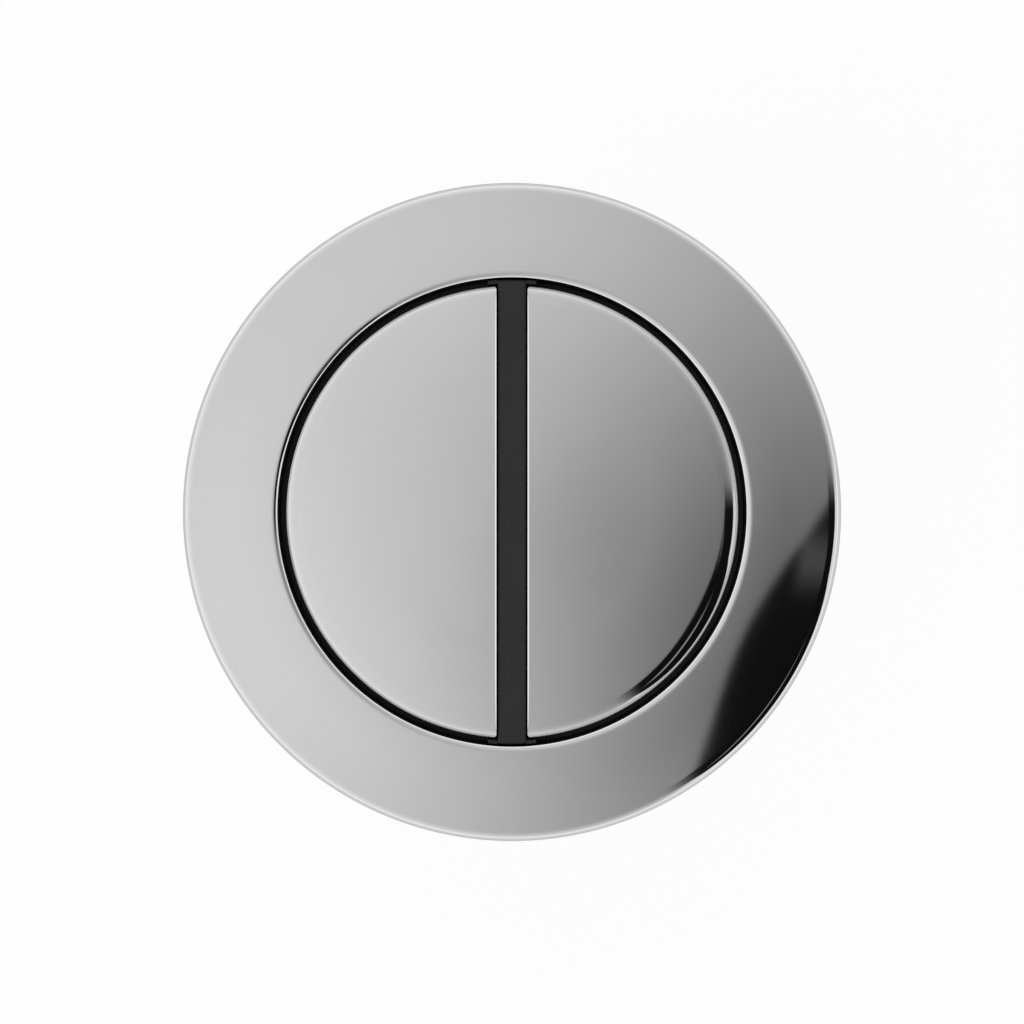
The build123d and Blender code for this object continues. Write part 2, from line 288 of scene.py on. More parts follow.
# %% Section of the ring
bezel_low, bezel_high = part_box("bezel")
RING_R = bezel_high.x
FACE_Z = bezel_high.z
SKIRT_Z = bezel_low.z
OPENING_R = 0.0263
OPENING_DROP = 0.000165  # drop of the rounded edge at the opening
OPENING_WIDTH = 0.0005
OPENING_POWER = 3.5  # how late the edge turns down
OPENING_STEPS = 12
EASE_DROP = 0.00004  # slight fall of the face just before that edge
EASE_WIDTH = 0.00079
EASE_RINGS = 8
RING_FALL = 0.0002  # drop of the face from the opening to the rim
RING_T = 0.0018
RIM_ROUND = 0.0012
RIM_START = 1.3 * RIM_ROUND  # the face's own rings end this far in from the rim
SKIRT_R = RING_R - 0.0016
SKIRT_ROUND = 0.0003
LIP_R = OPENING_R + 0.0018
SEAT_Z = 0.0035  # the ring's lip sits on the body's flange here
RING_SIDES = 240
FACE_RINGS = 14


def soft_edge(drop, width, power, steps, past=0.0):
    """Steps in from an edge that turns down softly: how far in, and how far below the face."""
    start = 1 + past / width
    shares = [start * (1 - i / steps) for i in range(steps + 1)]
    return [(width * (1 - share), drop * share**power) for share in shares]


def face_height(radius):
    """Height of the crowned face at a radius."""
    crown = (radius - OPENING_R) / (RING_R - OPENING_R)
    ease = max(0.0, 1 - (radius - OPENING_R) / EASE_WIDTH)
    return FACE_Z - RING_FALL * crown**2 - EASE_DROP * ease**2


def between(first, last, count):
    """Evenly spaced places after the first, up to the last."""
    return [first + (last - first) * i / count for i in range(1, count + 1)]


face_radii = between(OPENING_R + OPENING_WIDTH, OPENING_R + EASE_WIDTH, EASE_RINGS)
face_radii += between(OPENING_R + EASE_WIDTH, RING_R - RIM_START, FACE_RINGS)
opening_edge = soft_edge(OPENING_DROP, OPENING_WIDTH, OPENING_POWER, OPENING_STEPS)
ring_section = [(OPENING_R, SEAT_Z)]
for reach, below in opening_edge:
    ring_section.append((OPENING_R + reach, face_height(OPENING_R + reach) - below))
ring_section += [(radius, face_height(radius)) for radius in face_radii]
ring_section += [
    (RING_R, face_height(RING_R), RIM_ROUND),
    (RING_R, SKIRT_Z, SKIRT_ROUND),
    (SKIRT_R, SKIRT_Z, SKIRT_ROUND),
    (SKIRT_R, face_height(RING_R) - RING_T),
    (LIP_R, FACE_Z - RING_T),
    (LIP_R, SEAT_Z),
]
ring = turned("chrome_ring", ring_section, RING_SIDES, segments=12)
print("ring", round(RING_R * 2000, 2), "mm across")

# %% [markdown]
# ### Snap hooks
# Six hooks inside the skirt hold the ring to the body. A hook is a short arc of one section, so its
# filled outline is spun through a small angle. Five turned copies follow, and one Boolean joins
# them to the ring.

# %% Hooks under the ring
HOOK_COUNT = 6
HOOK_SPAN = radians(14)
HOOK_STEPS = 8
HOOK_R = 0.03425
HOOK_T = 0.001
BARB_R = HOOK_R - 0.0008
HOOK_TOP = face_height(RING_R) - RING_T / 2
CATCH_Z = 0.00135
BARB_T = 0.0008

hook_section = [
    (HOOK_R, HOOK_TOP),
    (HOOK_R + HOOK_T, HOOK_TOP),
    (HOOK_R + HOOK_T, CATCH_Z - BARB_T),
    (HOOK_R, CATCH_Z - BARB_T),
    (BARB_R, CATCH_Z - BARB_T / 2),
    (BARB_R, CATCH_Z),
    (HOOK_R, CATCH_Z),
]
hook = arc_piece("hook", hook_section, HOOK_SPAN, HOOK_STEPS)
hooks = [hook] + [copy_turned(hook, f"hook_{i}", 2 * pi * i / HOOK_COUNT) for i in range(1, HOOK_COUNT)]
for hook in hooks:
    combine(ring, hook, "UNION")
smooth(ring)

# %% [markdown]
# ## The two caps
# Each cap is a plated half-round shell. Its curved edge turns down softly, which draws the dark and
# the white bands in it, and its straight edge is crisp, which draws the thin white line beside the
# bar. A bevel would start with a hard line on the chrome, so a cylinder is extruded and scaled in
# small rings that follow a formula. A half-round cutter with two small corners, shared with it by a
# Boolean, gives the outline. A tilted cut makes the bevel of the straight edge, and an inset and an
# extrude hollow the cap from below.

# %% Round blank with its soft edge
cap_low, cap_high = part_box("half_flush_cap")
CAP_R = cap_high.x
SPLIT_X = cap_low.x
CAP_TOP = cap_high.z
CAP_FOOT = cap_low.z
CAP_SIDES = 192
CAP_EDGE_DROP = 0.00052
CAP_EDGE_WIDTH = 0.00225
CAP_EDGE_POWER = 4
CAP_EDGE_RINGS = 20
CAP_FALL = 0.0001  # slow fall of the outer part of the face
CAP_FALL_WIDTH = 0.0099
CAP_FALL_POWER = 2.2
CAP_FALL_RINGS = 10
OVER = 0.0002  # tools reach this far past the pieces that they cut or join


def cap_height(radius):
    """Height of the cap's face, before its edge turns down."""
    share = max(0.0, 1 - (CAP_R - radius) / CAP_FALL_WIDTH)
    return CAP_TOP - CAP_FALL * share**CAP_FALL_POWER


cap_edge = soft_edge(CAP_EDGE_DROP, CAP_EDGE_WIDTH, CAP_EDGE_POWER, CAP_EDGE_RINGS, past=OVER)
cap_rings = [(CAP_R - reach, cap_height(CAP_R - reach) - below) for reach, below in cap_edge]
for radius in between(CAP_R - CAP_EDGE_WIDTH, CAP_R - CAP_FALL_WIDTH, CAP_FALL_RINGS):
    cap_rings.append((radius, cap_height(radius)))
blank_r, blank_top = cap_rings[0]
half_cap = cylinder("half_flush_cap_shell", blank_r, CAP_FOOT - OVER, blank_top, CAP_SIDES)
edit(half_cap)
pick_faces(half_cap, lambda middle, normal: normal.z > LEVEL_NORMAL)
for (radius, top), (next_radius, next_top) in zip(cap_rings, cap_rings[1:]):
    bpy.ops.mesh.extrude_region_move(TRANSFORM_OT_translate={"value": (0, 0, next_top - top)})
    narrower = next_radius / radius
    bpy.ops.transform.resize(value=(narrower, narrower, 1), center_override=(0, 0, 0))
done()

# %% Half-round outline, straight edge and hollow
CAP_CORNER = 0.0004
SPLIT_RUN = 0.00016  # bevel along the straight edge, seen from above
SPLIT_DROP = 0.00014
CAP_WALL = 0.0016
ROOF_Z = CAP_TOP - 0.0018

cutter = cylinder("cutter", CAP_R, CAP_FOOT, CAP_TOP + OVER, CAP_SIDES)
edit(cutter)
cut_off((SPLIT_X, 0, 0), (-1, 0, 0))
pick_edges(cutter, lambda a, b: max(a.x, b.x) < SPLIT_X + NEAR and abs(a.z - b.z) > CAP_WALL)
bpy.ops.mesh.bevel(offset=CAP_CORNER, segments=4, affect="EDGES")
done()
combine(half_cap, cutter, "INTERSECT")
edit(half_cap)
cut_off((SPLIT_X + SPLIT_RUN, 0, CAP_TOP), (-SPLIT_DROP, 0, SPLIT_RUN))
pick_faces(half_cap, lambda middle, normal: normal.z < -LEVEL_NORMAL)
bpy.ops.mesh.inset(thickness=CAP_WALL)
bpy.ops.mesh.extrude_region_move(TRANSFORM_OT_translate={"value": (0, 0, ROOF_Z - CAP_FOOT)})
done()

# %% [markdown]
# ### Snap lugs
# Small wedges inside the wall catch under the plunger's plate. A lug is a cube whose lower inner
# edge is pushed back to the wall. Three sit on the curved wall and two on the straight one.

# %% Lugs in the cap
LUG_REACH = 0.0007
LUG_H = 0.0012
LUG_WIDTH = 0.004
LUG_ANGLES = (-55, 0, 55)
PLATE_Z = ROOF_Z - 0.002
CAP_IN_R = CAP_R - CAP_WALL


def lug_at(wall_x, reach, y):
    """A wedge on a wall at wall_x that reaches towards the middle of the hollow."""
    tip = wall_x + reach
    root = wall_x - reach
    low = (min(tip, root), y - LUG_WIDTH / 2, PLATE_Z - LUG_H)
    high = (max(tip, root), y + LUG_WIDTH / 2, PLATE_Z)
    wedge = block("lug", low, high)
    edit(wedge)
    pick_points(wedge, lambda at: at.z < PLATE_Z - LUG_H / 2 and abs(at.x - tip) < NEAR)
    bpy.ops.transform.translate(value=(wall_x - tip, 0, 0))
    done()
    return wedge


for angle in LUG_ANGLES:
    lug = lug_at(CAP_IN_R, -LUG_REACH, 0)
    combine(half_cap, copy_turned(lug, "lug_turned", radians(angle)), "UNION")
    bpy.data.objects.remove(lug)
for side in (1, -1):
    combine(half_cap, lug_at(SPLIT_X + CAP_WALL, LUG_REACH, side * CAP_IN_R / 2), "UNION")
smooth(half_cap)
full_cap = copy_turned(half_cap, "full_flush_cap_shell", pi)

# %% [markdown]
# ## The black body
# The body carries everything. Its barrel has a coarse thread for the clamp nut. The thread is one
# turn of its outline, wound by a Screw modifier and cut off square at both ends, with its groove
# where the CAD solid has it. A turned envelope, shared with it by a Boolean, opens the inside and
# chamfers the end. The plain collar above it, with the flange and the ledge round the wells, is one
# more turned section.

# %% Threaded barrel
body_low, body_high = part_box("button_body")
BARREL_R = 0.0285
BARREL_END = body_low.z
BARREL_LEAD = 0.0008
BARREL_SIDES = 144
WELL_R = 0.02565
FLANGE_R = body_high.x
FLANGE_LOW = 0.0015
THREAD_PITCH = 0.003
THREAD_DEPTH = 0.0011
GROOVE_Z = -0.004  # middle of the groove on the +X side
COLLAR_LOW = -0.0016
FLANGE_ROUND = 0.0003
SEAT_ROUND = 0.0002


def thread(name, crest, depth, pitch, low, high, steps, groove_z=0.0, crest_flat=0.3, root_flat=0.3):
    """A threaded bar on the Z axis: one turn of the outline, wound upwards as a right-hand screw."""
    flank = (1 - crest_flat - root_flat) / 2
    first = groove_z - (crest_flat + flank + root_flat / 2) * pitch
    start = first - pitch * ceil((first - low) / pitch + 1)
    root = crest - depth
    piece = draw(
        name,
        [
            (crest, start),
            (crest, start + crest_flat * pitch),
            (root, start + (crest_flat + flank) * pitch),
            (root, start + (crest_flat + flank + root_flat) * pitch),
            (crest, start + pitch),
        ],
    )
    done()
    only(piece)
    bpy.ops.object.modifier_add(type="SCREW")
    screw = piece.modifiers[-1]
    screw.angle = 2 * pi
    screw.screw_offset = pitch
    screw.iterations = ceil((high - start) / pitch) + 1
    screw.steps = steps
    screw.render_steps = steps
    bpy.ops.object.modifier_apply(modifier=screw.name)
    edit(piece)
    bpy.ops.mesh.remove_doubles(threshold=WELD)
    cut_off((0, 0, low), (0, 0, -1))
    cut_off((0, 0, high), (0, 0, 1))
    bpy.ops.mesh.select_all(action="SELECT")
    bpy.ops.mesh.normals_make_consistent(inside=False)
    done()
    return piece


body = thread(
    "black_body",
    BARREL_R,
    THREAD_DEPTH,
    THREAD_PITCH,
    BARREL_END - OVER,
    COLLAR_LOW + 2 * OVER,
    BARREL_SIDES,
    groove_z=GROOVE_Z,
)
envelope = turned(
    "envelope",
    [
        (WELL_R, COLLAR_LOW + OVER),
        (BARREL_R + OVER, COLLAR_LOW + OVER),
        (BARREL_R + OVER, BARREL_END + BARREL_LEAD + OVER),
        (BARREL_R - BARREL_LEAD, BARREL_END),
        (WELL_R, BARREL_END),
    ],
    BARREL_SIDES,
)
combine(body, envelope, "INTERSECT")

# %% Collar, flange and ledge
LEDGE_Z = 0.0005  # ledge round the wells, under the gap beside the caps
collar = turned(
    "collar",
    [
        (WELL_R, COLLAR_LOW),
        (WELL_R, LEDGE_Z),
        (OPENING_R, LEDGE_Z),
        (OPENING_R, SEAT_Z, SEAT_ROUND),
        (FLANGE_R, SEAT_Z, FLANGE_ROUND),
        (FLANGE_R, FLANGE_LOW, FLANGE_ROUND),
        (BARREL_R, FLANGE_LOW),
        (BARREL_R, COLLAR_LOW),
    ],
    BARREL_SIDES,
    segments=3,
)
combine(body, collar, "UNION")
print("barrel", len(body.data.polygons), "faces")

# %% [markdown]
# ### Inside the body
# A floor closes the barrel about a third of the way down, with the bar that parts the two caps
# standing on it. Under the floor two tubes guide the stems, held by ribs. The bar is a cylinder cut
# on both sides, so that its ends follow the ring's opening, and a short arc at each end stands on
# the ledge. Its top edges are rounded, because that is the part of the body that shows from above.

# %% Floor and bar
FLOOR_Z = -0.0093
UNDER_FLOOR = FLOOR_Z - 0.002
IN_WALL = WELL_R + 0.00095
BAR_X = 0.00163
BAR_TOP = 0.0055
BAR_R = OPENING_R - 0.0002
BAR_ROUND = 0.00025
BAR_FOOT_SPAN = radians(12)
BAR_FOOT_STEPS = 6
BAR_FOOT_IN = WELL_R + OVER / 4  # just outside the well's wall

body_floor = cylinder("body_floor", IN_WALL, UNDER_FLOOR, FLOOR_Z, BARREL_SIDES)
combine(body, body_floor, "UNION")
bar = cylinder("bar", BAR_R, UNDER_FLOOR, BAR_TOP, BARREL_SIDES)
edit(bar)
cut_off((BAR_X, 0, 0), (1, 0, 0))
cut_off((-BAR_X, 0, 0), (-1, 0, 0))
pick_edges(bar, lambda a, b: min(a.z, b.z) > BAR_TOP - NEAR)
bpy.ops.mesh.bevel(offset=BAR_ROUND, segments=4, affect="EDGES")
done()
bar_foot = [
    (BAR_FOOT_IN, BAR_TOP - BAR_ROUND),
    (BAR_R, BAR_TOP - BAR_ROUND),
    (BAR_R, LEDGE_Z - OVER),
    (BAR_FOOT_IN, LEDGE_Z - OVER),
]
for angle in (pi / 2, -pi / 2):
    combine(bar, arc_piece("foot", bar_foot, BAR_FOOT_SPAN, BAR_FOOT_STEPS, angle), "UNION")
combine(body, bar, "UNION")

# %% Guides and ribs
STEM_X = 0.012
BORE_R = 0.0041
GUIDE_R = BORE_R + 0.0019
GUIDE_END = -0.0223
GUIDE_ROUND = 0.0003
BOSS_R = 0.0046
BOSS_ROUND = 0.0002
BOSS_TOP = FLOOR_Z + 0.0015
RIB_T = 0.0016
RIB_LOW = UNDER_FLOOR - 0.006
GUIDE_SIDES = 48

for side in (1, -1):
    axis = side * STEM_X
    guide = turned(
        "guide",
        [
            (0, UNDER_FLOOR + OVER),
            (GUIDE_R, UNDER_FLOOR + OVER),
            (GUIDE_R, GUIDE_END, GUIDE_ROUND),
            (0, GUIDE_END),
        ],
        GUIDE_SIDES,
        segments=3,
        x=axis,
    )
    boss = turned(
        "boss",
        [
            (0, FLOOR_Z - OVER),
            (BOSS_R, FLOOR_Z - OVER),
            (BOSS_R, BOSS_TOP, BOSS_ROUND),
            (0, BOSS_TOP),
        ],
        GUIDE_SIDES,
        segments=3,
        x=axis,
    )
    half_chord = (IN_WALL**2 - STEM_X**2) ** 0.5
    across = block(
        "across",
        (axis - RIB_T / 2, -half_chord, RIB_LOW),
        (axis + RIB_T / 2, half_chord, UNDER_FLOOR + OVER),
    )
    ends = sorted((axis, side * IN_WALL))
    outward = block(
        "outward",
        (ends[0], -RIB_T / 2, RIB_LOW),
        (ends[1], RIB_T / 2, UNDER_FLOOR + OVER),
    )
    for part in (guide, boss, across, outward):
        combine(body, part, "UNION")
    bore = turned(
        "bore",
        [
            (0, BOSS_TOP + OVER),
            (BORE_R, BOSS_TOP + OVER),
            (BORE_R, GUIDE_END - OVER),
            (0, GUIDE_END - OVER),
        ],
        GUIDE_SIDES,
        x=axis,
    )
    combine(body, bore, "DIFFERENCE")
edit(body)
bpy.ops.mesh.remove_doubles(threshold=NEAR / 20)  # points that the Booleans left side by side
done()
smooth(body)

# %% [markdown]
# ## Gasket, washer and clamp nut
# These rings go over the barrel. The gasket and the washer are plain turned sections with softened
# edges. The nut is cut by a tap that has the barrel's thread, a little larger, so its own thread
# stays in mesh as it turns. Eight finger wings follow: one block with rounded edges, copied round
# the axis and joined to the turned ring.

# %% Gasket and washer
gasket_low, gasket_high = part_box("flange_gasket")
GASKET_IN = 0.0292
GASKET_ROUND = 0.0003
gasket = turned(
    "lid_gasket",
    [
        (GASKET_IN, gasket_low.z, GASKET_ROUND),
        (gasket_high.x, gasket_low.z, GASKET_ROUND),
        (gasket_high.x, gasket_high.z, GASKET_ROUND),
        (GASKET_IN, gasket_high.z, GASKET_ROUND),
    ],
    BARREL_SIDES,
    segments=4,
)
smooth(gasket)

washer_low, washer_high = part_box("clamp_washer")
WASHER_IN = 0.0288
WASHER_ROUND = 0.0003
WASHER_IN_ROUND = 0.0002
washer = turned(
    "slip_washer",
    [
        (WASHER_IN, washer_low.z, WASHER_IN_ROUND),
        (washer_high.x, washer_low.z, WASHER_ROUND),
        (washer_high.x, washer_high.z, WASHER_ROUND),
        (WASHER_IN, washer_high.z, WASHER_IN_ROUND),
    ],
    BARREL_SIDES,
    segments=3,
)
smooth(washer)

# %% Clamp nut
nut_low, nut_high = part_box("clamp_nut")
NUT_GAP = 0.00015  # nut to the barrel, at the crest and at the root of the thread
NUT_IN = BARREL_R + NUT_GAP
NUT_CREST = NUT_IN - THREAD_DEPTH
NUT_R = 0.03225
NUT_FLANGE_R = NUT_R + 0.002
NUT_FLANGE_LOW = nut_high.z - 0.002
NUT_FLANGE_ROUND = 0.0004
NUT_ROUND = 0.0005
WING_COUNT = 8
WING_W = 0.0045
WING_ROUND = 0.0005
nut = turned(
    "winged_nut",
    [
        (NUT_IN + OVER, nut_high.z),
        (NUT_FLANGE_R, nut_high.z, NUT_FLANGE_ROUND),
        (NUT_FLANGE_R, NUT_FLANGE_LOW, NUT_FLANGE_ROUND),
        (NUT_R, NUT_FLANGE_LOW),
        (NUT_R, nut_low.z, NUT_ROUND),
        (NUT_IN + OVER, nut_low.z),
        (NUT_CREST, nut_low.z + THREAD_DEPTH),
        (NUT_CREST, nut_high.z - THREAD_DEPTH),
    ],
    BARREL_SIDES,
    segments=3,
)
tap = thread(
    "tap",
    NUT_IN,
    THREAD_DEPTH,
    THREAD_PITCH,
    nut_low.z - OVER,
    nut_high.z + OVER,
    BARREL_SIDES,
    groove_z=GROOVE_Z,
)
combine(nut, tap, "DIFFERENCE")
wing = block(
    "wing",
    ((NUT_IN + NUT_R) / 2, -WING_W / 2, nut_low.z),
    (nut_high.x, WING_W / 2, nut_high.z),
    WING_ROUND,
)
wings = [wing] + [copy_turned(wing, f"wing_{i}", 2 * pi * i / WING_COUNT) for i in range(1, WING_COUNT)]
for wing in wings:
    combine(nut, wing, "UNION")
smooth(nut)

# %% [markdown]
# ## Plungers, clips, rods and lock nuts
# Under each cap a white plunger slides in its guide. A threaded rod screwed into the stem reaches
# the flush valve, and a lock nut holds it at its length. A spring clip in the stem's groove keeps
# the plunger in. Each is made once on the +X side and turned by half a turn for the other button.

# %% Plunger
plunger_low, plunger_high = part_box("half_flush_plunger")
STEM_R = 0.004
TAPPED_R = 0.00305
GROOVE_R = 0.0035
GROOVE_TOP = GUIDE_END
GROOVE_LOW = GROOVE_TOP - 0.0011
TAPPED_TOP = -0.01435
PLATE_R = plunger_high.x
PLATE_X = plunger_low.x
PLATE_ROUND = 0.0002
STEM_ROUND = 0.0003
TAPPED_ROUND = 0.0002
ROD_SIDES = 40

plunger = cylinder("half_flush_plunger_moulding", PLATE_R, PLATE_Z, ROOF_Z, BARREL_SIDES)
edit(plunger)
cut_off((PLATE_X, 0, 0), (-1, 0, 0))
pick_edges(plunger, lambda a, b: abs(a.z - b.z) < NEAR)
bpy.ops.mesh.bevel(offset=PLATE_ROUND, segments=2, affect="EDGES")
done()
stem = turned(
    "stem",
    [
        (0, PLATE_Z + OVER),
        (STEM_R, PLATE_Z + OVER),
        (STEM_R, GROOVE_TOP),
        (GROOVE_R, GROOVE_TOP),
        (GROOVE_R, GROOVE_LOW),
        (STEM_R, GROOVE_LOW),
        (STEM_R, plunger_low.z, STEM_ROUND),
        (TAPPED_R, plunger_low.z, TAPPED_ROUND),
        (TAPPED_R, TAPPED_TOP),
        (0, TAPPED_TOP),
    ],
    ROD_SIDES,
    segments=3,
    x=STEM_X,
)
combine(plunger, stem, "UNION")
smooth(plunger)

# %% Clip
clip_low, clip_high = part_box("half_flush_clip")
CLIP_IN = GROOVE_R + 0.00005
CLIP_R = (clip_high.x - clip_low.x) / 2
CLIP_SLOT = 0.006
CLIP_ROUND = 0.0002
CLIP_IN_ROUND = 0.0001
clip = turned(
    "half_flush_clip_ring",
    [
        (CLIP_IN, clip_low.z, CLIP_IN_ROUND),
        (CLIP_R, clip_low.z, CLIP_ROUND),
        (CLIP_R, clip_high.z, CLIP_ROUND),
        (CLIP_IN, clip_high.z, CLIP_IN_ROUND),
    ],
    ROD_SIDES,
    segments=2,
    x=STEM_X,
)
slot = block(
    "slot",
    (STEM_X - CLIP_SLOT / 2, 0, clip_low.z - OVER),
    (STEM_X + CLIP_SLOT / 2, 2 * CLIP_R, clip_high.z + OVER),
)
combine(clip, slot, "DIFFERENCE")
smooth(clip)

# %% Rod and its foot
rod_low, rod_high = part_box("half_flush_rod")
ROD_R = 0.003
ROD_PITCH = 0.00125
ROD_DEPTH = 0.0005
FOOT_R = (rod_high.y - rod_low.y) / 2
FOOT_TOP = rod_low.z + 0.003
FOOT_ROUND = 0.0006
FOOT_TOP_ROUND = 0.0004
rod = thread(
    "half_flush_threaded_rod",
    ROD_R,
    ROD_DEPTH,
    ROD_PITCH,
    FOOT_TOP - OVER,
    rod_high.z,
    ROD_SIDES,
    crest_flat=0.2,
    root_flat=0.2,
)
foot = turned(
    "foot",
    [
        (0, rod_low.z),
        (FOOT_R, rod_low.z, FOOT_ROUND),
        (FOOT_R, FOOT_TOP, FOOT_TOP_ROUND),
        (0, FOOT_TOP),
    ],
    ROD_SIDES,
    segments=5,
)
combine(rod, foot, "UNION")
edit(rod)
bpy.ops.transform.translate(value=(STEM_X, 0, 0))
done()
smooth(rod)

# %% Lock nut
lock_low, lock_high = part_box("half_flush_lock_nut")
LOCK_MIDDLE = (lock_low.z + lock_high.z) / 2
LOCK_ROUND = 0.0003
lock_size = lock_high - lock_low
LOCK_R = max(lock_size.x, lock_size.y) / 2
lock_turn = 0.0 if lock_size.y > lock_size.x else pi / 6
bpy.ops.object.select_all(action="DESELECT")
bpy.ops.mesh.primitive_cylinder_add(
    vertices=6,
    radius=LOCK_R,
    depth=lock_size.z,
    location=(STEM_X, 0, LOCK_MIDDLE),
    rotation=(0, 0, lock_turn),
)
lock_nut = named("half_flush_hex_nut")
edit(lock_nut)
bpy.ops.mesh.bevel(offset=LOCK_ROUND, segments=3, affect="EDGES")
done()
lock_bore = turned(
    "lock_bore",
    [
        (0, lock_low.z - OVER),
        (TAPPED_R, lock_low.z - OVER),
        (TAPPED_R, lock_high.z + OVER),
        (0, lock_high.z + OVER),
    ],
    ROD_SIDES,
    x=STEM_X,
)
combine(lock_nut, lock_bore, "DIFFERENCE")
smooth(lock_nut)

# %% [markdown]
# ## Return springs
# A spring pushes each button back up. Its first and last turns are closed and ground flat, so the
# rise changes along the wire, which a Screw modifier can't do. A small filled circle is extruded
# step by step instead, turned and lifted a little each time. Its other end is filled too, and both
# ends are cut flat.

# %% Spring
spring_low, spring_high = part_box("half_flush_spring")
SPRING_R = 0.00545
WIRE_R = 0.0004
WIRE_SIDES = 12
SPRING_TURNS = 5
SPRING_STEPS = 32
CLOSED_PITCH = 0.00095
OPEN_PITCH = (spring_high.z - spring_low.z - 2 * CLOSED_PITCH) / (SPRING_TURNS - 2)

bpy.ops.object.select_all(action="DESELECT")
bpy.ops.mesh.primitive_circle_add(
    vertices=WIRE_SIDES,
    radius=WIRE_R,
    fill_type="NGON",
    location=(SPRING_R, 0, spring_low.z),
    rotation=(pi / 2, 0, 0),
)
spring = named("half_flush_coil_spring")
edit(spring)
for step in range(SPRING_TURNS * SPRING_STEPS):
    closed = step < SPRING_STEPS or step >= (SPRING_TURNS - 1) * SPRING_STEPS
    rise = (CLOSED_PITCH if closed else OPEN_PITCH) / SPRING_STEPS
    bpy.ops.mesh.extrude_edges_move(TRANSFORM_OT_translate={"value": (0, 0, rise)})
    bpy.ops.transform.rotate(value=-2 * pi / SPRING_STEPS, orient_axis="Z", center_override=(0, 0, 0))
bpy.ops.mesh.edge_face_add()
bpy.ops.mesh.select_all(action="SELECT")
bpy.ops.mesh.normals_make_consistent(inside=False)
cut_off((0, 0, spring_low.z), (0, 0, -1))
cut_off((0, 0, spring_high.z), (0, 0, 1))
bpy.ops.mesh.select_all(action="SELECT")
bpy.ops.mesh.normals_make_consistent(inside=False)
bpy.ops.transform.translate(value=(STEM_X, 0, 0))
done()
smooth(spring)

# %% The other button's pieces
full_plunger = copy_turned(plunger, "full_flush_plunger_moulding", pi)
full_clip = copy_turned(clip, "full_flush_clip_ring", pi)
full_rod = copy_turned(rod, "full_flush_threaded_rod", pi)
full_lock_nut = copy_turned(lock_nut, "full_flush_hex_nut", pi)
full_spring = copy_turned(spring, "full_flush_coil_spring", pi)

# %% [markdown]
# ## Finishes
# Every finish reads Object coordinates, so its grain has a real size in metres. One shared group
# makes the fine unevenness of a moulded or plated surface: a fine noise for a slight bump, and
# broad patches that change the colour and the roughness a little.

# %% Shared grain group
def grain_group():
    """Two noises from 0 to 1: the height of a fine bump, and patches for colour and roughness."""
    group = bpy.data.node_groups.new("surface_grain", "ShaderNodeTree")
    group.interface.new_socket("Grain per metre", in_out="INPUT", socket_type="NodeSocketFloat")
    group.interface.new_socket("Patch per metre", in_out="INPUT", socket_type="NodeSocketFloat")
    group.interface.new_socket("Height", in_out="OUTPUT", socket_type="NodeSocketFloat")
    group.interface.new_socket("Patches", in_out="OUTPUT", socket_type="NodeSocketFloat")
    inputs = group.nodes.new("NodeGroupInput")
    outputs = group.nodes.new("NodeGroupOutput")
    place = group.nodes.new("ShaderNodeTexCoord")
    fine = group.nodes.new("ShaderNodeTexNoise")
    fine.inputs["Detail"].default_value = 3
    broad = group.nodes.new("ShaderNodeTexNoise")
    broad.inputs["Detail"].default_value = 2
    for noise, rate in ((fine, "Grain per metre"), (broad, "Patch per metre")):
        group.links.new(place.outputs["Object"], noise.inputs["Vector"])
        group.links.new(inputs.outputs[rate], noise.inputs["Scale"])
    group.links.new(fine.outputs["Fac"], outputs.inputs["Height"])
    group.links.new(broad.outputs["Fac"], outputs.inputs["Patches"])
    return group


GRAIN = grain_group()


def finish(
    name, shade, light, grain, patch, roughness, bump, bump_height, metallic=0.0, ior=1.5, grazing=1.0
):
    """A Principled material with mottled colour and roughness, and a bump of a real height."""
    material = bpy.data.materials.new(name)
    material.use_nodes = True
    nodes, links = material.node_tree.nodes, material.node_tree.links
    shader = nodes["Principled BSDF"]
    shader.inputs["Metallic"].default_value = metallic
    shader.inputs["IOR"].default_value = ior
    shader.inputs["Specular Tint"].default_value = (grazing, grazing, grazing, 1)
    group = nodes.new("ShaderNodeGroup")
    group.node_tree = GRAIN
    group.inputs["Grain per metre"].default_value = grain
    group.inputs["Patch per metre"].default_value = patch
    colour = nodes.new("ShaderNodeMix")
    colour.data_type = "RGBA"
    colour.inputs["A"].default_value = (*shade, 1)
    colour.inputs["B"].default_value = (*light, 1)
    links.new(group.outputs["Patches"], colour.inputs["Factor"])
    links.new(colour.outputs["Result"], shader.inputs["Base Color"])
    rough = nodes.new("ShaderNodeMapRange")
    rough.inputs["To Min"].default_value = roughness[0]
    rough.inputs["To Max"].default_value = roughness[1]
    links.new(group.outputs["Patches"], rough.inputs["Value"])
    links.new(rough.outputs["Result"], shader.inputs["Roughness"])
    relief = nodes.new("ShaderNodeBump")
    relief.inputs["Strength"].default_value = bump
    relief.inputs["Distance"].default_value = bump_height
    links.new(group.outputs["Height"], relief.inputs["Height"])
    links.new(relief.outputs["Normal"], shader.inputs["Normal"])
    return material


